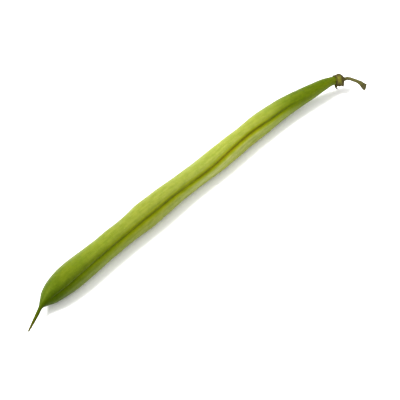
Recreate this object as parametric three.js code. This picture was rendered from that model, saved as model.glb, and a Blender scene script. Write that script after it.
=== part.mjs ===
// A green bean as picked: the pod with its beak, the dried calyx on its neck, and the hooked stalk.
// Millimetres, +Z up. The bean lies on its side: +X runs along the pod towards the stalk, the pod
// bows gently towards +Y, and its seam looks up and towards -Y. The origin is at the middle of the
// bean's bounding box, on the surface that it lies on.
import * as THREE from "three";

// ---------------------------------------------------------------- driving dimensions
const POD_SIDES = 24;            // columns around the pod
const POD_STEPS = 4;             // rings between two stations of the pod
const CHEEK_RATIO = 0.97;        // height of the pod's section over its width
const SEAM_ANGLE = 44;           // degrees from -Y up to the seam, seen along the pod
const SEAM_DEPTH = 0.045;        // how far the two seams are sunk, as a share of the radius
const SEAM_SHARPNESS = 30;       // higher is a narrower groove

const CALYX_RADIUS = 1.75;       // outside of the cup
const CALYX_FLARE = 0.2;         // how much wider the rim is
const CALYX_WALL = 0.3;
const CALYX_DEPTH = 1.3;         // from the cup's floor to the rim between its teeth
const CALYX_WAIST = 0.8;         // from the cup's floor to where the rim starts to flare
const CALYX_FLOOR = 1.5;         // thickness behind the floor, where the stalk begins
const CALYX_BACK_RADIUS = 0.75;  // flat patch behind the cup, which faces the stalk
const CALYX_ROUND = 0.35;        // how far the back of the cup is drawn in
const CALYX_HEEL = 0.1;          // height over which the floor rounds into the walls
const CALYX_SIDES = 30;
const TEETH = 5;
const TOOTH_LENGTH = 0.6;

const STALK_SIDES = 12;
const STALK_STEPS = 5;
const STALK_RADIUS = 0.55;
const STALK_RISE = 0.1;          // how far above the calyx's middle the stalk begins
const STALK_BEHIND = 0.55;       // from the back of the calyx to the slanting end of the stalk
const SCAR_RADIUS = 0.92;        // the flared end where the stalk left the plant

const GAP = 0.3;                 // air between pieces that touch

const POD_GREEN = 0x8fa62e;
const CALYX_OLIVE = 0x8c8a3a;
const STALK_OLIVE = 0x7d7a3e;

const UP = new THREE.Vector3(0, 0, 1);

// ---------------------------------------------------------------- shared shapes
// A station is one place along a piece: the middle of its section, and the section's radius.
const station = (x, y, z, radius) => ({ middle: new THREE.Vector3(x, y, z), radius });

// The smooth line through the middles of all stations.
const pathThrough = (stations) =>
  new THREE.CatmullRomCurve3(stations.map((s) => s.middle), false, "catmullrom");

// Turns the stations' radii into a round, straight solid, whose axis runs from 0 to 1 along +Y.
function turnedSolid(stations, sides, stepsBetween) {
  const radii = new THREE.SplineCurve(stations.map((s, i) => new THREE.Vector2(i, s.radius)));
  const steps = (stations.length - 1) * stepsBetween;
  const profile = [new THREE.Vector2(0, 0)];
  for (let i = 0; i <= steps; i++) {
    const along = i / steps;
    profile.push(new THREE.Vector2(radii.getPoint(along).y, along));
  }
  profile.push(new THREE.Vector2(0, 1));
  return new THREE.LatheGeometry(profile, sides);
}

// Bends a turned solid along a path. The section's own angle is 0 at its first column, and shape()
// gives the section's radius there. Nothing goes below the surface that the bean lies on, so the
// underside is flat where it rests.
function bendAlong(solid, path, firstColumn, heightRatio, shape = (radius) => radius) {
  const corners = solid.attributes.position;
  for (let i = 0; i < corners.count; i++) {
    const along = corners.getY(i);
    const angle = Math.atan2(corners.getX(i), corners.getZ(i));
    const radius = shape(Math.hypot(corners.getX(i), corners.getZ(i)), angle);
    const tangent = path.getTangent(along);
    const side = tangent.clone().cross(UP).normalize();
    const top = side.clone().cross(tangent);
    const turn = THREE.MathUtils.degToRad(firstColumn) - angle;
    const point = path.getPoint(along);
    point.addScaledVector(side, radius * Math.cos(turn));
    point.addScaledVector(top, radius * Math.sin(turn) * heightRatio);
    corners.setXYZ(i, point.x, point.y, Math.max(point.z, 0));
  }
  solid.computeVertexNormals();
  return solid;
}

function piece(name, geometry, colour, roughness) {
  const material = new THREE.MeshStandardMaterial({ color: colour, roughness, metalness: 0 });
  const mesh = new THREE.Mesh(geometry, material);
  mesh.name = name;
  return mesh;
}

// ---------------------------------------------------------------- pod
// From the tip of the beak, over the blunt end, the three seed swellings and the long taper, to the
// end of the neck. The first swelling is the thickest place, and the pod rests on all three.
const podStations = [
  station(-9.3, -3.1, 0.85, 0.3),    // beak
  station(-6.5, -2.2, 1.6, 0.42),
  station(-3.7, -1.25, 2.4, 0.57),
  station(-1.4, -0.4, 3.0, 0.82),
  station(0.6, 0.1, 3.35, 1.6),      // blunt end
  station(3.6, 0.6, 3.6, 2.9),
  station(8.5, 1.1, 3.78, 3.9),
  station(15.5, 1.4, 3.77, 4.2),     // first swelling
  station(24, 1.7, 3.78, 3.9),
  station(33, 2.0, 3.84, 3.8),
  station(41, 2.25, 3.78, 3.95),
  station(49, 2.5, 3.72, 4.15),      // second swelling
  station(57, 2.75, 3.7, 3.85),
  station(66, 3.0, 3.62, 3.6),
  station(76, 3.1, 3.48, 3.7),
  station(86, 3.3, 3.35, 3.72),      // third swelling
  station(96, 3.6, 3.36, 3.62),
  station(106, 3.7, 3.48, 3.5),
  station(114, 3.3, 3.72, 3.2),
  station(121, 2.4, 3.95, 2.75),
  station(127, 1.5, 4.15, 2.35),     // neck
  station(131.5, 0.75, 4.3, 1.8),
  station(134, 0.1, 4.38, 1.42),
  station(135.8, -0.6, 4.35, 1.26),
  station(137.1, -1.3, 4.2, 1.16),
];
const podPath = pathThrough(podStations);
const seamed = (radius, angle) =>
  radius * (1 - SEAM_DEPTH * Math.abs(Math.cos(angle)) ** SEAM_SHARPNESS);
const podSolid = turnedSolid(podStations, POD_SIDES, POD_STEPS);
const pod = piece("pod", bendAlong(podSolid, podPath, SEAM_ANGLE, CHEEK_RATIO, seamed), POD_GREEN, 0.42);

// ---------------------------------------------------------------- calyx
// A cup, turned about +Y with its mouth upwards, then laid over the end of the neck.
const rimRadius = CALYX_RADIUS + CALYX_FLARE;
const insideRadius = CALYX_RADIUS - CALYX_WALL;
const cupProfile = [
  new THREE.Vector2(0, -CALYX_FLOOR),
  new THREE.Vector2(CALYX_BACK_RADIUS, -CALYX_FLOOR),
  new THREE.Vector2(CALYX_RADIUS - CALYX_ROUND, -CALYX_FLOOR / 2),
  new THREE.Vector2(CALYX_RADIUS, CALYX_HEEL),
  new THREE.Vector2(CALYX_RADIUS, CALYX_WAIST),
  new THREE.Vector2(rimRadius, CALYX_DEPTH),
  new THREE.Vector2(rimRadius - CALYX_WALL, CALYX_DEPTH),
  new THREE.Vector2(insideRadius, CALYX_WAIST),
  new THREE.Vector2(insideRadius, CALYX_HEEL),
  new THREE.Vector2(insideRadius - CALYX_HEEL, 0),
  new THREE.Vector2(0, 0),
];

// Each tooth is a place where the rim reaches further along the neck.
function addTeeth(cup) {
  const corners = cup.attributes.position;
  for (let i = 0; i < corners.count; i++) {
    const angle = Math.atan2(corners.getX(i), corners.getZ(i));
    const reach = (TOOTH_LENGTH * (1 + Math.cos(TEETH * angle))) / 2;
    const onRim = corners.getY(i) > (CALYX_DEPTH + CALYX_WAIST) / 2;
    if (onRim) corners.setY(i, CALYX_DEPTH + reach);
  }
  cup.computeVertexNormals();
  return cup;
}

const neckEnd = podPath.getPoint(1);
const neckDirection = podPath.getTangent(1);
const cup = addTeeth(new THREE.LatheGeometry(cupProfile, CALYX_SIDES));
const calyx = piece("calyx", cup, CALYX_OLIVE, 0.7);
calyx.quaternion.setFromUnitVectors(new THREE.Vector3(0, 1, 0), neckDirection.clone().negate());
calyx.position.copy(neckEnd).addScaledVector(neckDirection, GAP);

// ---------------------------------------------------------------- pedicel
// The stalk leaves the calyx in line with the neck, arches over towards -Y and droops to its scar.
const stalkStart = neckEnd.clone().addScaledVector(neckDirection, GAP + CALYX_FLOOR + STALK_BEHIND);
const stalkStations = [
  station(stalkStart.x, stalkStart.y, stalkStart.z + STALK_RISE, 0.5),
  station(139.55, -2.95, 4.35, STALK_RADIUS),
  station(139.75, -3.8, 4.7, STALK_RADIUS),
  station(139.95, -5.1, 4.9, STALK_RADIUS),
  station(140.3, -6.6, 4.75, STALK_RADIUS),
  station(140.65, -7.9, 4.25, 0.58),
  station(140.75, -8.75, 3.55, 0.7),
  station(140.6, -9.25, 2.75, SCAR_RADIUS),   // scar
];
const stalkSolid = turnedSolid(stalkStations, STALK_SIDES, STALK_STEPS);
const pedicel = piece("pedicel", bendAlong(stalkSolid, pathThrough(stalkStations), 0, 1), STALK_OLIVE, 0.75);

// ---------------------------------------------------------------- the whole bean
const bean = new THREE.Group();
bean.add(pod, calyx, pedicel);

const box = new THREE.Box3().setFromObject(bean, true);
const middle = box.getCenter(new THREE.Vector3());
bean.position.set(-middle.x, -middle.y, -box.min.z);

export default bean;
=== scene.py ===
# %% [markdown]
# # A green bean, as picked
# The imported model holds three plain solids: the pod with its beak, the calyx and the stalk. They
# have the right size and the right place. This lesson puts a finely shaped and coloured piece in
# the place of each, and then sets up the floor, the light and the camera.
# The bean lies along X, with its beak at -X and its stalk at +X. It bows towards +Y, and Z is up.
# Shapes are written in millimetres, as a grower would give them, and each point is turned into
# metres when it is set.

# %% Load the frame
import math

import bmesh
import bpy
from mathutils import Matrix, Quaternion, Vector, noise


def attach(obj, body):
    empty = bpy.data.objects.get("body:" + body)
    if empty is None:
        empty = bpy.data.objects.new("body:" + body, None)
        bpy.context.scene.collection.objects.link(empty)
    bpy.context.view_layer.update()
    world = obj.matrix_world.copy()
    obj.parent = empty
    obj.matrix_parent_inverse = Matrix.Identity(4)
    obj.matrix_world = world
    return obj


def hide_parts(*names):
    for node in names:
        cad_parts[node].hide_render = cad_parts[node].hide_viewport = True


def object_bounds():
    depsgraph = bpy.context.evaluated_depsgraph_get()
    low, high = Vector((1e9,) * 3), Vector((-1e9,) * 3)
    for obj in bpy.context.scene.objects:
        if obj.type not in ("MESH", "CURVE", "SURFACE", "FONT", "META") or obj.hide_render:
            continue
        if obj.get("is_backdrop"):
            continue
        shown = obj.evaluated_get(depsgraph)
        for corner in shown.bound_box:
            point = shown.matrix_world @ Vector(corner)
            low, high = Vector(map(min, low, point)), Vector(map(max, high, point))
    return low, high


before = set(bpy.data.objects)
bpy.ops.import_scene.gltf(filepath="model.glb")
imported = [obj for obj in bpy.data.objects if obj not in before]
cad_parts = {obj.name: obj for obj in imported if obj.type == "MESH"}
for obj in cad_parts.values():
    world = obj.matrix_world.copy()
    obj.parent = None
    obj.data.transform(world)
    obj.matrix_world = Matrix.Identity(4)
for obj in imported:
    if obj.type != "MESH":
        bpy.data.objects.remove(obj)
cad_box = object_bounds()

MM = 0.001
UP = Vector((0, 0, 1))
size = cad_box[1] - cad_box[0]
print("the solids measure", [round(side / MM, 1) for side in size], "mm")

# %% [markdown]
# ## A smooth line through a few stations
# A pod has no straight stretch and no sharp corner, so it is described by a few stations: places
# along it where the middle and the thickness are known. A Catmull-Rom curve runs through them all
# without a kink. It could be drawn as a curve object, but a short function serves for places,
# thicknesses and angles alike, and it needs no handles to be set.

# %% A curve through numbers or points
def smooth(values, place):
    """The value at a place, such as 2.5 for halfway between the third and the fourth."""
    last = len(values) - 1
    i = max(0, min(int(place), last - 1))
    t = place - i
    a, b = values[i], values[i + 1]
    before = values[i - 1] if i > 0 else a * 2 - b
    after = values[i + 2] if i + 2 <= last else b * 2 - a
    bend = (before * 2 - a * 5 + b * 4 - after) * (t * t)
    swing = (a * 3 - before - b * 3 + after) * (t * t * t)
    return (a * 2 + (b - before) * t + bend + swing) * 0.5


def ease(low, high, value):
    """0 below low, 1 above high, and a soft step between them."""
    t = max(0.0, min(1.0, (value - low) / (high - low)))
    return t * t * (3 - 2 * t)


def hump(value, width):
    """1 at 0, and close to 0 from about two widths away: the outline of a soft ridge."""
    return math.exp(-((value / width) ** 2))


print("halfway between 1 and 3 on a smooth line:", smooth([0.0, 1.0, 3.0, 4.0], 1.5))

# %% [markdown]
# ## Turned, then bent
# Pod, calyx and stalk are all round in section, so each starts as a line that is spun about an
# axis, as on a lathe. Extruding a circle ring by ring would do as well, but one spin gives every
# ring at once. The turned rod is straight: its X says how far along a point is, and its angle says
# how far round. Each point is then moved to its real place on the bent piece, which is where all
# the shape comes from.

# %% A turned rod, ready to be shaped
SAME_PLACE = 1e-4


def turned_rod(rings, columns):
    """A closed rod of radius 1 along X, from 0 to rings, with each end gathered into one point."""
    rod = bmesh.new()
    ends = [rod.verts.new((0, 0, 0)), rod.verts.new((rings, 0, 0))]
    edge = rod.edges.new(ends)
    bmesh.ops.subdivide_edges(rod, edges=[edge], cuts=rings - 1)
    for vert in rod.verts:
        vert.co.x = round(vert.co.x)
        vert.co.z = 0 if vert in ends else 1
    line = rod.verts[:] + rod.edges[:]
    turn = {"cent": (0, 0, 0), "axis": (1, 0, 0), "angle": math.tau, "steps": columns}
    bmesh.ops.spin(rod, geom=line, use_merge=True, **turn)
    bmesh.ops.remove_doubles(rod, verts=rod.verts[:], dist=SAME_PLACE)
    return rod


def round_place(radius, angle):
    """Where a point of a round section is, as its two distances from the section's middle."""
    return radius * math.cos(angle), radius * math.sin(angle)


def finish_piece(name, shape, material, body="root"):
    """Makes an object of a shaped bmesh, with its faces pointing out and shaded smoothly."""
    bmesh.ops.recalc_face_normals(shape, faces=shape.faces[:])
    if shape.calc_volume(signed=True) < 0:
        bmesh.ops.reverse_faces(shape, faces=shape.faces[:])
    for face in shape.faces:
        face.smooth = True
    mesh = bpy.data.meshes.new(name)
    shape.to_mesh(mesh)
    volume = shape.calc_volume(signed=True) / MM**3
    shape.free()
    piece = bpy.data.objects.new(name, mesh)
    bpy.context.scene.collection.objects.link(piece)
    mesh.materials.append(material)
    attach(piece, body)
    print(name, len(mesh.polygons), "faces,", round(volume), "cubic millimetres")
    return piece


# %% [markdown]
# ## The bean's line
# The stations run from the tip of the beak, over the blunt end, the seed swellings and the long
# taper, to the end of the neck. Each holds the middle of the section, its radius, and how far up
# from -Y the seam is turned there: a pod is always a little twisted, and its seam with it.
# The numbers count from the root of the beak, and one step sideways brings them into the frame.

# %% Stations of the pod
INTO_FRAME = Vector((-66.038, 1.378, 0))
CHEEK_RATIO = 0.97

# x, y, z, radius, seam angle
pod_stations = [
    (-9.3, -3.1, 0.85, 0.22, 38),
    (-6.5, -2.2, 1.6, 0.43, 38),
    (-3.7, -1.25, 2.4, 0.57, 38),
    (-1.4, -0.4, 3.0, 0.66, 37),
    (0.6, 0.1, 3.35, 1.5, 36),
    (3.6, 0.6, 3.6, 2.9, 35),
    (8.5, 1.1, 3.78, 3.9, 34),
    (15.5, 1.4, 3.77, 4.2, 40),
    (24, 1.7, 3.78, 3.9, 42),
    (33, 2.0, 3.84, 3.8, 43),
    (41, 2.25, 3.78, 3.95, 45),
    (49, 2.6, 3.72, 4.19, 45),
    (57, 2.83, 3.7, 3.93, 45),
    (66, 3.0, 3.62, 3.6, 41),
    (76, 3.1, 3.48, 3.7, 41),
    (86, 3.3, 3.35, 3.72, 51),
    (96, 3.6, 3.36, 3.62, 54),
    (106, 3.7, 3.48, 3.5, 44),
    (114, 3.3, 3.72, 3.2, 42),
    (121, 2.4, 3.95, 2.75, 35),
    (127, 1.5, 4.15, 2.35, 26),
    (131.5, 0.75, 4.3, 1.92, 26),
    (134, 0.1, 4.38, 1.56, 25),
    (135.8, -0.6, 4.35, 1.37, 25),
    (137.1, -1.3, 4.2, 1.2, 25),
]
pod_line = [Vector(row[:3]) + INTO_FRAME for row in pod_stations]
pod_radii = [row[3] for row in pod_stations]
pod_twist = [math.radians(row[4]) for row in pod_stations]
NEARBY = 0.01


def section(line, place):
    """A bent piece at a place along its line: its middle, and the ways along, sideways and up."""
    middle = smooth(line, place)
    along = (smooth(line, place + NEARBY) - smooth(line, place - NEARBY)).normalized()
    side = along.cross(UP).normalized()
    return middle, along, side, side.cross(along)


line_length = sum((there - here).length for here, there in zip(pod_line, pod_line[1:]))
print("the pod's line is", round(line_length, 1), "mm long")

# %% [markdown]
# ## The relief of the pod
# A pod is two cheeks that meet in two seams. The front seam is the one that it would split along:
# a thin sunken string in a shallow valley, with a low ridge on either side. The back seam is only
# a faint string. Inside, the seeds push the cheeks out in soft rows. Fine fibres run the length of
# the skin. Sculpting this by hand would be slow on a long thin shape, so each part of the relief
# is a small function of two distances: how far along the pod, and how far across from the seam.

# %% How far the skin stands in or out, in millimetres
# height, width, and distance from the middle of the seam
FRONT_SEAM = [
    (-0.30, 0.95, 0.0),  # valley
    (0.08, 0.65, 1.7),   # shoulders
    (-0.12, 0.24, 0.0),  # string
    (0.06, 0.26, 0.6),   # ridges
]
BACK_SEAM = [(0.09, 0.22, 0.0), (-0.12, 0.8, 0.0)]
SEAM_FADES = 118.0
SEAM_ENDS = 132.0

SEEDS_FROM = 22.0
SEEDS_TO = 118.0
SEED_STEP = 11.3
SEED_WANDER = 1.6
SEED_TURN = 2.4
SEED_HEIGHT = 0.1
SEED_LENGTH = 3.4

# height, length along the pod, width across it, and a shift that gives each its own pattern
GROWTH = [
    (0.16, 13, 5, 0),        # slow waves
    (0.04, 3.1, 1.9, 7),     # small dents
    (0.008, 17, 0.42, 31),   # fibres
]


def seam(parts, across):
    """How far the parts of a seam lift or sink the skin, at a distance across from its middle."""
    return sum(height * hump(abs(across) - away, width) for height, width, away in parts)


def seeds(along, around):
    """Soft swellings on the cheeks, a quarter turn from the seams, one for each seed."""
    number = round((along - SEEDS_FROM) / SEED_STEP)
    wander = SEED_WANDER * math.sin(number * SEED_TURN)
    centre = SEEDS_FROM + number * SEED_STEP + wander
    here = ease(SEEDS_FROM - 8, SEEDS_FROM, along) * (1 - ease(SEEDS_TO - 4, SEEDS_TO + 4, along))
    return SEED_HEIGHT * here * hump(along - centre, SEED_LENGTH) * abs(math.sin(around)) ** 1.5


def grown(along, x, y, radius):
    """The unevenness of grown skin, which dies away on the thin beak."""
    uneven = sum(
        height * noise.noise(Vector((along / length, x / width, y / width + shift)))
        for height, length, width, shift in GROWTH
    )
    return uneven * ease(0.5, 2.6, radius)


print("the front seam is sunk by", round(-seam(FRONT_SEAM, 0), 2), "mm")

# %% [markdown]
# ## Building blocks for finishes
# A finish is a small graph of nodes, read from left to right: a place on the skin, a pattern at
# that place, and what the pattern does to the colour or the height. Each kind of node that the
# finishes need gets a short helper, so that a finish reads as a recipe and not as wiring.

# %% Helpers for places and patterns
def new_finish(name):
    """A material with its Principled shader, ready for a recipe."""
    material = bpy.data.materials.new(name)
    material.use_nodes = True
    return material, material.node_tree, material.node_tree.nodes["Principled BSDF"]


def plug(tree, socket, value):
    """Sets a socket to a plain value, or links it to another node's output."""
    if isinstance(value, bpy.types.NodeSocket):
        tree.links.new(value, socket)
    else:
        socket.default_value = value


def stored(tree, name, output="Fac"):
    """Reads what the shaping step stored on each point of the piece."""
    node = tree.nodes.new("ShaderNodeAttribute")
    node.attribute_name = name
    return node.outputs[output]


def grain(tree, place, scale, detail=2.0, roughness=0.5):
    """Cloudy noise from 0 to 1. The scale says how many clouds fit in a millimetre, each way."""
    mapping = tree.nodes.new("ShaderNodeMapping")
    plug(tree, mapping.inputs["Vector"], place)
    plug(tree, mapping.inputs["Scale"], scale)
    node = tree.nodes.new("ShaderNodeTexNoise")
    plug(tree, node.inputs["Vector"], mapping.outputs["Vector"])
    plug(tree, node.inputs["Scale"], 1.0)
    plug(tree, node.inputs["Detail"], detail)
    plug(tree, node.inputs["Roughness"], roughness)
    return node.outputs["Fac"]


# %% Helpers for shares, colours and relief
def sums(tree, operation, a, b=0.0, c=0.0):
    """Plain arithmetic on two or three numbers."""
    node = tree.nodes.new("ShaderNodeMath")
    node.operation = operation
    for socket, value in zip(node.inputs, (a, b, c)):
        plug(tree, socket, value)
    return node.outputs["Value"]


def both(tree, a, b):
    """A share that is high only where two shares are."""
    return sums(tree, "MULTIPLY", a, b)


def stretch(tree, value, low, high, to_low=0.0, to_high=1.0):
    """Turns the range from low to high into another one, softly and without going past it."""
    node = tree.nodes.new("ShaderNodeMapRange")
    node.interpolation_type = "SMOOTHSTEP"
    for name, given in zip(("Value", "From Min", "From Max", "To Min", "To Max"),
                           (value, low, high, to_low, to_high)):
        plug(tree, node.inputs[name], given)
    return node.outputs["Result"]


def colours(tree, value, stops):
    """A band of colours: each stop is a place from 0 to 1 and a colour."""
    node = tree.nodes.new("ShaderNodeValToRGB")
    band = node.color_ramp
    while len(band.elements) < len(stops):
        band.elements.new(1.0)
    for element, (place, colour) in zip(band.elements, stops):
        element.position = place
        element.color = (*colour, 1)
    plug(tree, node.inputs["Fac"], value)
    return node.outputs["Color"]


# A Mix node has numbers, vectors and colours under the same names, so its colours go by number.
MIX_SHARE, MIX_UNDER, MIX_OVER, MIX_RESULT = 0, 6, 7, 2


def paint(tree, share, under, over, mode="MIX"):
    """Lays one colour over another, by a share from 0 to 1."""
    node = tree.nodes.new("ShaderNodeMix")
    node.data_type = "RGBA"
    node.blend_type = mode
    plug(tree, node.inputs[MIX_SHARE], share)
    plug(tree, node.inputs[MIX_UNDER], under)
    plug(tree, node.inputs[MIX_OVER], over)
    return node.outputs[MIX_RESULT]


def tinted(tree, share, under, tint):
    """Multiplies a colour by a tint, by a share from 0 to 1."""
    return paint(tree, share, under, tint, "MULTIPLY")


def rise(tree, height, depth, below=None):
    """Fine relief: height is from 0 to 1, and depth says how many metres that is."""
    node = tree.nodes.new("ShaderNodeBump")
    plug(tree, node.inputs["Height"], height)
    plug(tree, node.inputs["Distance"], depth)
    plug(tree, node.inputs["Strength"], 1.0)
    if below is not None:
        plug(tree, node.inputs["Normal"], below)
    return node.outputs["Normal"]


def gloss_and_flesh(shader, gloss, gloss_tint, flesh, seeping):
    """What is the same all over a piece: its gloss, and how far light seeps into it."""
    shader.inputs["Specular IOR Level"].default_value = gloss
    shader.inputs["Specular Tint"].default_value = gloss_tint
    shader.inputs["Subsurface Weight"].default_value = flesh
    shader.inputs["Subsurface Radius"].default_value = seeping
    shader.inputs["Subsurface Scale"].default_value = MM


print("the helpers for finishes are ready")

# %% [markdown]
# ## The skin along the pod
# A fresh pod is yellow-green where it is plump, deeper green at its blunt end and on the neck, and
# olive to brown on the dry beak. A band of colours holds this, read by the share of the length.
# Slow clouds shift it to and fro, so that no change of colour runs straight across the pod.
# Pale and dark streaks follow the fibres, under a fine mottle. The pod could be painted by hand,
# but a recipe can be changed in one place and is sharp from any distance.
# Every pattern reads the pod as if it were straight, which the shaping step stores on each point:
# a streak then follows the bend of the pod, as a real fibre does.

# %% Colours and streaks along the pod
CLOUD_SHIFT = 0.08

# share of the length, colour
LENGTH_COLOURS = [
    (0.00, (0.055, 0.045, 0.010)),
    (0.03, (0.042, 0.056, 0.006)),
    (0.06, (0.034, 0.060, 0.002)),
    (0.10, (0.040, 0.067, 0.002)),
    (0.17, (0.089, 0.120, 0.005)),
    (0.25, (0.134, 0.165, 0.012)),
    (0.32, (0.152, 0.177, 0.018)),
    (0.39, (0.174, 0.195, 0.023)),
    (0.55, (0.200, 0.227, 0.034)),
    (0.63, (0.222, 0.244, 0.034)),
    (0.71, (0.206, 0.226, 0.030)),
    (0.79, (0.174, 0.204, 0.021)),
    (0.87, (0.094, 0.130, 0.004)),
    (0.95, (0.080, 0.114, 0.001)),
    (1.00, (0.085, 0.098, 0.006)),
]


def colour_along(tree, share, straight):
    """The colour by the share of the length, shifted to and fro by slow clouds."""
    clouds = grain(tree, straight, (0.07, 0.16, 0.16), 3.0)
    wavering = sums(tree, "MULTIPLY_ADD", clouds, CLOUD_SHIFT, share)
    return colours(tree, sums(tree, "SUBTRACT", wavering, CLOUD_SHIFT / 2), LENGTH_COLOURS)


def streaked(tree, skin, streaks, straight):
    """Adds pale and dark streaks, and a fine mottle."""
    pale = stretch(tree, streaks, 0.5, 0.75, 0.0, 0.6)
    skin = tinted(tree, pale, skin, (1.25, 1.2, 1.7, 1))
    dark = stretch(tree, streaks, 0.5, 0.25, 0.0, 0.6)
    skin = tinted(tree, dark, skin, (0.75, 0.82, 0.6, 1))
    mottle = stretch(tree, grain(tree, straight, (0.4, 0.8, 0.8), 4.0, 0.6), 0.35, 0.7)
    return tinted(tree, mottle, skin, (0.82, 0.88, 0.75, 1))


print(len(LENGTH_COLOURS), "colours along the pod")

# %% [markdown]
# ## The skin across the pod
# Across the pod, the colour goes by the distance from the front seam. The skin is more yellow
# towards it, and right beside it, in its valley, it is darkened as painted shade. The string in it
# is olive, and brown past the middle of the pod, and in places it is worn away. The ridge below
# the seam is lightened as a painted highlight. The cheek above it is lightened over the blunt end
# as painted light, and darkened on the neck as painted shade. Each of these is one tint, laid on
# by how far across and how far along a point is. A mask drawn by hand would do too, but it would
# not move with the seam.

# %% Tints across the pod
RIDGE_HIGHLIGHT_BELOW = 1.6

# share of the length, tint of the string
STRING_TINTS = [
    (0.00, (0.58, 0.64, 0.5)),
    (0.50, (0.60, 0.58, 0.5)),
    (0.62, (0.73, 0.59, 0.4)),
    (0.74, (0.66, 0.57, 0.4)),
    (0.84, (0.58, 0.62, 0.5)),
]


def seamed(tree, skin, from_seam, share):
    """Adds yellow beside the seam and painted shade in its valley; both end before the neck does.
    """
    before_neck = stretch(tree, share, 0.95, 0.80)
    yolky = both(tree, stretch(tree, from_seam, 1.5, 0.4), before_neck)
    skin = tinted(tree, yolky, skin, (1.0, 1.0, 0.05, 1))
    # Painted shade: the seam's valley is darkened in the colour.
    band = both(tree, stretch(tree, from_seam, 1.35, 0.25), before_neck)
    return tinted(tree, band, skin, (0.80, 0.82, 0.6, 1))


def cheeked(tree, skin, across, share):
    """Paints a highlight on the ridge below the seam; above it, light at the blunt end and shade
    on the neck.
    """
    plump = both(tree, stretch(tree, share, 0.38, 0.62), stretch(tree, share, 0.90, 0.80))
    from_ridge = sums(tree, "ABSOLUTE", sums(tree, "ADD", across, RIDGE_HIGHLIGHT_BELOW))
    # Painted highlight: a pale, whitish band on the ridge below the seam.
    ridge = both(tree, stretch(tree, from_ridge, 1.5, 0.2), plump)
    skin = tinted(tree, ridge, skin, (1.22, 1.20, 2.2, 1))
    # Painted light: the upper cheek over the blunt end is lightened in the colour, leaving its
    # lower half darker.
    brow_light = both(tree, stretch(tree, across, 0.3, 3.2), stretch(tree, share, 0.17, 0.125))
    skin = tinted(tree, brow_light, skin, (1.36, 1.23, 1.3, 1))
    # Painted shade: the upper side of the neck, which faces the light, is darkened in the colour.
    nape_shade = both(tree, stretch(tree, across, 0.2, 2.0), stretch(tree, share, 0.83, 0.90))
    return tinted(tree, nape_shade, skin, (0.78, 0.80, 0.8, 1))


def stringed(tree, skin, from_seam, share, straight):
    """Adds the string in the seam, worn in places, where the seam is open."""
    open_seam = both(tree, stretch(tree, share, 0.12, 0.30), stretch(tree, share, 0.90, 0.79))
    worn = stretch(tree, grain(tree, straight, (0.10, 0.3, 0.3), 3.0, 0.6), 0.35, 0.6, 0.55, 1.0)
    string = both(tree, stretch(tree, from_seam, 0.80, 0.15), worn)
    tint = colours(tree, share, STRING_TINTS)
    return tinted(tree, both(tree, string, open_seam), skin, tint)


# The pale ridge is a painted highlight.
print("the pale ridge lies", RIDGE_HIGHLIGHT_BELOW, "mm below the seam")

# %% [markdown]
# ## The whole skin
# The layers go on one after the other: the colour along the pod, the streaks, the tints across
# it, and last the tiny pale specks and the fine veins. The skin is smooth and waxy, so the
# streaks, the veins and the pores stand out from it by only a few hundredths of a millimetre,
# which bump can give better than mesh. Flesh lets a little light through, so a thin layer of
# subsurface light softens the shading.

# %% The pod's finish
def pod_skin():
    material, tree, shader = new_finish("pod_skin")
    share = stored(tree, "share")
    across = stored(tree, "across")
    straight = stored(tree, "straight", "Vector")
    from_seam = sums(tree, "ABSOLUTE", across)
    streaks = grain(tree, straight, (0.045, 1.3, 1.3), 3.0, 0.55)
    veins = grain(tree, straight, (0.12, 4.5, 4.5), 3.0, 0.6)

    skin = streaked(tree, colour_along(tree, share, straight), streaks, straight)
    skin = seamed(tree, skin, from_seam, share)
    skin = cheeked(tree, skin, across, share)
    skin = stringed(tree, skin, from_seam, share, straight)
    specks = stretch(tree, grain(tree, straight, (3.0, 3.5, 3.5), 1.0), 0.66, 0.76, 0.0, 0.5)
    skin = tinted(tree, specks, skin, (1.5, 1.45, 2.5, 1))
    skin = tinted(tree, stretch(tree, veins, 0.40, 0.70, 0.0, 0.5), skin, (0.84, 0.88, 0.8, 1))
    plug(tree, shader.inputs["Base Color"], skin)

    shine = stretch(tree, grain(tree, straight, (0.3, 1.2, 1.2), 3.0), 0.3, 0.7, 0.36, 0.48)
    plug(tree, shader.inputs["Roughness"], shine)
    fibres = rise(tree, streaks, 0.06 * MM)
    fine_fibres = rise(tree, veins, 0.03 * MM, fibres)
    pores = grain(tree, straight, (2.6, 4.5, 4.5), 3.0, 0.6)
    plug(tree, shader.inputs["Normal"], rise(tree, pores, 0.03 * MM, fine_fibres))
    gloss_and_flesh(shader, 0.08, (0.9, 0.95, 0.1, 1), 0.18, (0.9, 1.2, 0.35))
    return material


skin_finish = pod_skin()
print("pod skin:", len(skin_finish.node_tree.nodes), "nodes")

# %% [markdown]
# ## Shaping the pod
# The rod is bent along the bean's line. Its columns are crowded towards the two seams, where the
# relief is finest, and spread out on the cheeks, which are smooth. The first rings close round the
# tip of the beak. Each point also keeps where it is on the straightened pod, for the finish.
# Nothing goes below the surface that the bean rests on. Sweeping a circle along a curve would bend
# the pod as well, but it would leave no room for the seams.

# %% The pod
POD_RINGS = 760
POD_COLUMNS = 112
TIP_RINGS = 5
CROWDING = 0.55
FLESHY_FROM = 1.5
FLESHY_TO = 3.0


def crowd(angle):
    """Draws columns together at the front seam, at 0, and at the back seam, at half a turn."""
    return angle - CROWDING * math.sin(2 * angle) / 2


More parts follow.
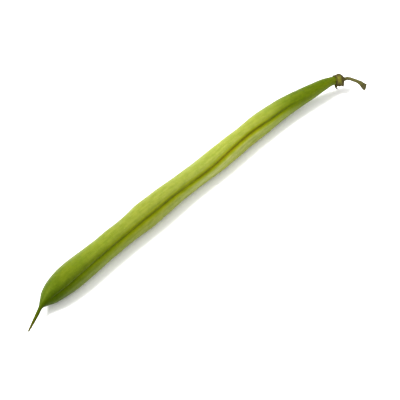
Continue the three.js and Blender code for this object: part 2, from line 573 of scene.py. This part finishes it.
def shape_pod():
    rod = turned_rod(POD_RINGS, POD_COLUMNS)
    share = rod.verts.layers.float.new("share")
    across = rod.verts.layers.float.new("across")
    straight = rod.verts.layers.float_vector.new("straight")
    places = [ring * (len(pod_stations) - 1) / POD_RINGS for ring in range(POD_RINGS + 1)]
    sections = [section(pod_line, place) for place in places]
    radii = [smooth(pod_radii, place) for place in places]
    twists = [smooth(pod_twist, place) for place in places]
    travelled = [0.0]
    for here, there in zip(sections, sections[1:]):
        travelled.append(travelled[-1] + (there[0] - here[0]).length)

    for vert in rod.verts:
        ring = round(vert.co.x)
        middle, _, side, top = sections[ring]
        radius, along = radii[ring], travelled[ring]
        from_seam = crowd(math.atan2(vert.co.z, vert.co.y))
        from_back = math.remainder(from_seam - math.pi, math.tau)
        x, y = round_place(radius, from_seam)
        fleshy = ease(FLESHY_FROM, FLESHY_TO, radius)
        split = fleshy * (1 - ease(SEAM_FADES, SEAM_ENDS, along))
        relief = seam(FRONT_SEAM, from_seam * radius) * split
        relief += seam(BACK_SEAM, from_back * radius) * fleshy
        relief += seeds(along, from_seam) + grown(along, x, y, radius)
        at_end = ring in (0, POD_RINGS)
        reach = 0.0 if at_end else (radius + relief) * ease(-2, TIP_RINGS, ring)
        sideways, upwards = round_place(reach, twists[ring] + from_seam)
        point = middle + side * sideways + top * (upwards * CHEEK_RATIO)
        point.z = max(point.z, 0)
        vert[share] = along / travelled[-1]
        vert[across] = from_seam * radius
        vert[straight] = Vector((along, x, y))
        vert.co = point * MM
    return rod


pod = finish_piece("bean_pod", shape_pod(), skin_finish)
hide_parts("pod")

# %% [markdown]
# ## The dry finish of calyx and stalk
# Calyx and stalk carry no flesh, so they dry first. Both are olive where they still hold sap, and
# brown on edges, tips and the scar, with a dull, fibrous surface; on the calyx's back and sides
# the brown is painted shade as well. They could have a finish each, but one recipe serves both: it
# reads how dry each point is, from 0 to 1, which the shaping step stores, together with the
# calyx's painted shade, and mixes olive and brown by that. Only the two colours and the fibres
# differ.

# %% The dry finish
DARK_FIBRE = (0.036, 0.030, 0.007, 1)
BRIGHT_FIBRE = (0.145, 0.138, 0.032, 1)


def dry_skin(name, fresh, brown_colour, fibre_scale):
    """The finish of calyx and stalk, between two colours, with fibres in them."""
    material, tree, shader = new_finish(name)
    straight = stored(tree, "straight", "Vector")
    dryness_and_shade = stored(tree, "dryness_and_shade")
    clouds = grain(tree, straight, (1.1, 1.3, 1.3), 4.0, 0.6)
    patches = sums(tree, "MULTIPLY_ADD", clouds, 0.9, dryness_and_shade)
    skin = paint(tree, stretch(tree, patches, 0.45, 1.15), fresh, brown_colour)
    fibres = grain(tree, straight, fibre_scale, 3.0, 0.6)
    skin = paint(tree, stretch(tree, fibres, 0.55, 0.3, 0.0, 0.55), skin, DARK_FIBRE)
    skin = paint(tree, stretch(tree, fibres, 0.55, 0.75, 0.0, 0.45), skin, BRIGHT_FIBRE)
    plug(tree, shader.inputs["Base Color"], skin)
    plug(tree, shader.inputs["Roughness"], stretch(tree, dryness_and_shade, 0.0, 1.0, 0.55, 0.82))
    relief = rise(tree, fibres, 0.12 * MM)
    crumbs = grain(tree, straight, (5.0, 6.0, 6.0), 3.0, 0.6)
    plug(tree, shader.inputs["Normal"], rise(tree, crumbs, 0.05 * MM, relief))
    gloss_and_flesh(shader, 0.15, (1.0, 0.95, 0.6, 1), 0.08, (0.6, 0.6, 0.25))
    return material


calyx_finish = dry_skin(
    "dry_calyx", fresh=(0.128, 0.124, 0.011, 1), brown_colour=(0.044, 0.034, 0.007, 1),
    fibre_scale=(0.5, 2.6, 2.6),
)
stalk_finish = dry_skin(
    "stalk", fresh=(0.065, 0.061, 0.014, 1), brown_colour=(0.042, 0.037, 0.014, 1),
    fibre_scale=(0.3, 3.2, 3.2),
)
print("calyx and stalk:", len(stalk_finish.node_tree.nodes), "nodes each")

# %% [markdown]
# ## The calyx
# The calyx is the green cup that held the flower. On the pod it has shrunk to a knob, which grips
# the neck with five short teeth. Its edges are dry, its back and sides are browned as dryness and
# painted shade, and a patch that looks up and towards -Y is still olive. It is turned like the
# pod:
# its outline runs from behind the knob, out and over the rim, and back down inside to the cup's
# floor. The teeth are drawn out of the rim, each with a length and a curl of its own, because no
# two dry alike, and one of them is thin and curls right back. A dry lobe at the back and slight
# swellings above and below keep the knob from looking turned. It could be sculpted, but then no
# tooth could be changed by a number.

# %% The outline, teeth and lobes of the calyx
CALYX_RINGS = 96
CALYX_COLUMNS = 120
CALYX_GAP = 0.3
RIM_FROM = 0.55
RIM_HEIGHT = 1.65
RIM_RADIUS = 1.64
FRESH_ANGLE = math.radians(45)
FIRST_TOOTH = math.radians(22)

# length, curl and slenderness
TEETH = [
    (0.40, 0.20, 1.2),
    (0.40, 0.05, 1.2),
    (0.35, 0.00, 1.2),
    (0.40, 0.90, 1.2),
    (0.80, 3.40, 3.6),
]
TOOTH_ANGLE = math.tau / len(TEETH)

# angle, height, width round the cup, width along it, and size
LOBES = [
    (math.radians(-48), -1.15, 0.5, 0.5, 0.9),
    (math.radians(130), 0.2, 0.7, 0.9, 0.16),
    (math.radians(-50), 0.1, 0.8, 0.6, 0.28),
]

# height above the cup's floor, radius
calyx_outline = [
    (-1.50, 0.0), (-1.52, 0.50), (-1.42, 0.98), (-1.05, 1.45), (-0.50, 1.76), (0.0, 1.90),
    (0.5, 1.88), (1.0, 1.77), (1.35, 1.72), (1.60, 1.74), (1.65, 1.68), (1.57, 1.61),
    (1.3, 1.56), (0.8, 1.48), (0.3, 1.40), (0.06, 1.1), (0.0, 0.5), (0.0, 0.0),
]


def tooth_at(angle):
    """How far a tooth reaches here, from 0 between teeth to 1 at a tip, its length and curl."""
    turns = (angle - FIRST_TOOTH) / TOOTH_ANGLE
    number = round(turns)
    off_centre = abs(turns - number) * 2
    length, curl, slenderness = TEETH[number % len(TEETH)]
    return (1 - off_centre) ** slenderness, length, curl


def bent_out(height, radius, reach, length, curl):
    """Draws the rim out into a tooth, and bends it outwards in an even curve from its root."""
    up = height - RIM_FROM
    turn = curl * reach * up / (RIM_HEIGHT - RIM_FROM)
    along = up * (1 + length * reach)
    if up <= 0:
        return height, radius
    if abs(turn) < 0.001:
        return RIM_FROM + along, radius
    off = radius - RIM_RADIUS
    height = RIM_FROM + (along / turn - off) * math.sin(turn)
    radius = RIM_RADIUS + (1 - math.cos(turn)) * along / turn + off * math.cos(turn)
    return height, radius


def lobes_at(height, angle):
    """How far the lobes stand out here, in millimetres."""
    return sum(
        size * hump(height - at, along) * hump(math.remainder(angle - way, math.tau), around)
        for way, at, around, along, size in LOBES
    )


print(len(TEETH), "teeth, and a knob", 2 * max(row[1] for row in calyx_outline), "mm across")

# %% The calyx
RIBS = 15
RIB_HEIGHT = 0.05
LUMP_HEIGHT = 0.10
RAGGED = 0.12
DRY_AND_SHADED_BACK = 0.95
DRY_AND_SHADED_SIDES = 0.85
KNOB_RADIUS = 1.6


def calyx_dryness_and_shade(height, angle, reach):
    """Dry on the rim and its teeth. At the back, and round the sides away from an olive patch,
    the brown is dryness and painted shade.
    """
    edge = ease(0.8, RIM_HEIGHT, height) * (0.5 + 0.5 * reach)
    # Painted shade as well as dryness: the back of the knob, facing the stalk, and the sides are
    # browned.
    back = DRY_AND_SHADED_BACK * ease(0.7, -0.5, height)
    olive_patch = hump(math.remainder(angle - FRESH_ANGLE, math.tau), 0.9)
    return max(edge, back, DRY_AND_SHADED_SIDES * (1 - olive_patch))


def shape_calyx():
    rod = turned_rod(CALYX_RINGS, CALYX_COLUMNS)
    dryness_and_shade = rod.verts.layers.float.new("dryness_and_shade")
    straight = rod.verts.layers.float_vector.new("straight")
    heights = [row[0] for row in calyx_outline]
    radii = [row[1] for row in calyx_outline]
    neck_end, neck_way, neck_side, neck_top = section(pod_line, len(pod_line) - 1)
    for vert in rod.verts:
        place = vert.co.x * (len(calyx_outline) - 1) / CALYX_RINGS
        angle = math.atan2(vert.co.z, vert.co.y)
        height, radius = smooth(heights, place), max(0.0, smooth(radii, place))
        rim = ease(RIM_FROM, RIM_HEIGHT, height)
        reach, length, curl = tooth_at(angle)
        vert[dryness_and_shade] = calyx_dryness_and_shade(height, angle, reach)
        rib = RIB_HEIGHT * math.sin(RIBS * angle) * (0.3 + 0.7 * rim)
        lump = LUMP_HEIGHT * noise.noise(Vector((height, *round_place(radius, angle))))
        radius += (rib + lump + lobes_at(height, angle)) * ease(0.3, 1.2, radius)
        height += RAGGED * rim * noise.noise(Vector((*round_place(5, angle), 3)))
        height, radius = bent_out(height, radius, reach, length, curl)
        sideways, upwards = round_place(radius, angle)
        middle = neck_end + neck_way * (CALYX_GAP - height)
        vert[straight] = Vector((height, *round_place(KNOB_RADIUS, angle)))
        vert.co = (middle + neck_side * sideways + neck_top * upwards) * MM
    return rod


calyx = finish_piece("bean_calyx", shape_calyx(), calyx_finish)
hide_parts("calyx")

# %% [markdown]
# ## The stalk
# The pedicel leaves the calyx in line with the neck, arches over towards -Y and droops. It is
# ribbed and a little knotty, and it flares at its end into a slanting, torn scar, where it came
# off the plant. A curve with a round bevel would give the bend and the flare, but no ribs and no
# hollow. So it is a turned rod bent along its own stations, like the pod, and the last rings fold
# back inside the end to hollow out the scar.

# %% The stalk
STALK_RINGS = 150
STALK_COLUMNS = 36
SCAR_RINGS = 10
SCAR_DEPTH = 0.45
SCAR_SLANT = 0.34
SLANT_ANGLE = math.radians(-41)
TORN_HEIGHT = 0.22
KNOT_HEIGHT = 0.10
STALK_RIBS = 6
STALK_RIB_HEIGHT = 0.035
STATION_STEP = 1.6

# x, y, z, radius
stalk_stations = [
    (138.5, -2.10, 4.05, 0.70),
    (138.95, -2.35, 4.10, 0.64),
    (139.4, -2.75, 4.28, 0.58),
    (139.6, -3.20, 4.50, 0.56),
    (139.75, -3.80, 4.70, 0.55),
    (139.95, -5.10, 4.95, 0.54),
    (140.3, -6.60, 4.92, 0.58),
    (140.65, -7.65, 4.58, 0.74),
    (140.9, -8.50, 4.05, 0.94),
    (141.15, -9.25, 3.66, 1.24),
]
stalk_line = [Vector(row[:3]) + INTO_FRAME for row in stalk_stations]
stalk_radii = [row[3] for row in stalk_stations]


def shape_stalk():
    rod = turned_rod(STALK_RINGS, STALK_COLUMNS)
    dryness_and_shade = rod.verts.layers.float.new("dryness_and_shade")
    straight = rod.verts.layers.float_vector.new("straight")
    outside = STALK_RINGS - SCAR_RINGS
    last = len(stalk_stations) - 1
    for vert in rod.verts:
        ring = round(vert.co.x)
        place = min(ring, outside) * last / outside
        inward = max(0, ring - outside) / SCAR_RINGS
        angle = math.atan2(vert.co.z, vert.co.y)
        middle, way, side, top = section(stalk_line, place)
        radius = smooth(stalk_radii, place)
        rib = STALK_RIB_HEIGHT * math.sin(STALK_RIBS * angle + place)
        knot = KNOT_HEIGHT * noise.noise(Vector((place * 2.2, *round_place(1, angle))))
        torn = TORN_HEIGHT * noise.noise(Vector((8, *round_place(2, angle)))) * (1 - inward)
        drawn_in = 1 - inward ** 1.5
        reach = 0.0 if ring in (0, STALK_RINGS) else (radius + rib + knot) * drawn_in
        slant = SCAR_SLANT * reach * math.cos(angle - SLANT_ANGLE)
        sunk = SCAR_DEPTH * ease(0.0, 0.7, inward)
        sideways, upwards = round_place(reach, angle)
        point = middle + side * sideways + top * upwards
        point += way * ((torn + slant) * ease(last - 1, last, place) - sunk)
        dry_end = 0.9 * ease(last - 3, last, place)
        dry_root = 0.25 * ease(2, 0, place)
        vert[dryness_and_shade] = max(dry_end, dry_root) - 0.4 * inward
        vert[straight] = Vector((place * STATION_STEP, *round_place(radius * drawn_in, angle)))
        vert.co = point * MM
    return rod


stalk = finish_piece("bean_stalk", shape_stalk(), stalk_finish)
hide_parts("pedicel")

# %% [markdown]
# ## Floor and air
# The bean lies on a plain pale surface. A wide plane does for the floor, made with one grid
# operator. The air round it gives an even white light from all sides, which keeps the shadows
# soft and pale. A sky texture could light it too, but it would tint the white.

# %% The floor and the even light
FLOOR_SIDE = 6.0
AIR_LIGHT = 1.12

floor_shape = bmesh.new()
bmesh.ops.create_grid(floor_shape, x_segments=1, y_segments=1, size=FLOOR_SIDE / 2)
floor_mesh = bpy.data.meshes.new("floor")
floor_shape.to_mesh(floor_mesh)
floor_shape.free()
floor = bpy.data.objects.new("floor", floor_mesh)
bpy.context.scene.collection.objects.link(floor)
floor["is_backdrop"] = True

floor_finish, _, floor_shader = new_finish("pale_floor")
floor_shader.inputs["Base Color"].default_value = (0.97, 0.97, 0.955, 1)
floor_shader.inputs["Roughness"].default_value = 0.6
floor_shader.inputs["Specular IOR Level"].default_value = 0.2
floor_mesh.materials.append(floor_finish)

world = bpy.data.worlds.new("studio")
bpy.context.scene.world = world
world.use_nodes = True
air = world.node_tree.nodes["Background"]
air.inputs["Color"].default_value = (1.0, 1.0, 1.0, 1)
air.inputs["Strength"].default_value = AIR_LIGHT
print("floor", FLOOR_SIDE, "m wide")

# %% [markdown]
# ## The key light
# One large soft light stands behind the bean's left and above it. Its size decides how soft the
# edge of the shadow is, and its height how far the shadow reaches. An area light is the nearest
# thing in Blender to a studio's soft box; a sun would give a harder edge.

# %% The soft box
KEY_WAY = Vector((-0.36, 0.50, 0.90)).normalized()
KEY_DISTANCE = 3.0
KEY_SIDE = 1.25
KEY_POWER = 173.0

lamp = bpy.data.lights.new("key_light", "AREA")
lamp.shape = "SQUARE"
lamp.size = KEY_SIDE
lamp.energy = KEY_POWER
soft_box = bpy.data.objects.new("key_light", lamp)
soft_box.location = KEY_WAY * KEY_DISTANCE
soft_box.rotation_euler = (-KEY_WAY).to_track_quat("-Z", "Y").to_euler()
bpy.context.scene.collection.objects.link(soft_box)
print("key light", KEY_DISTANCE, "m away")

# %% [markdown]
# ## The camera
# The camera looks down at the bean by about 45 degrees, from beyond its beak end, through a long
# lens, and is tipped a little to the side, so that the bean climbs from the lower left to the
# upper right. It could be turned to the bean with a constraint, but one turn worked out from the
# two places is enough for a camera that stands still.

# %% The camera
CAMERA_PLACE = Vector((-405.14, -293.92, 496.5))
LOOKS_AT = Vector((-2.16, -3.70, 4.0))
LENS = 208
SENSOR = 36
TIPPED = 6.72

sight = bpy.data.cameras.new("camera")
sight.lens = LENS
sight.sensor_width = SENSOR
sight.clip_start = 0.01
sight.clip_end = 20
camera = bpy.data.objects.new("camera", sight)
camera.location = CAMERA_PLACE * MM
level = (LOOKS_AT - CAMERA_PLACE).to_track_quat("-Z", "Y")
camera.rotation_mode = "QUATERNION"
camera.rotation_quaternion = level @ Quaternion((0, 0, 1), math.radians(TIPPED))
bpy.context.scene.collection.objects.link(camera)
bpy.context.scene.camera = camera
bpy.context.scene.view_settings.view_transform = "Standard"
print("the camera is", round((LOOKS_AT - CAMERA_PLACE).length * MM, 2), "m away")

# %% [markdown]
# ## Sizes, and the end
# The finely shaped bean has to be as large as the solids that it stands for. Both boxes are
# written down, so that they can be compared.

# %% Write the sizes and finish
seen_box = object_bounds()
for name, box in (("solids", cad_box), ("seen", seen_box)):
    print(name, [[round(value / MM, 2) for value in corner] for corner in box])
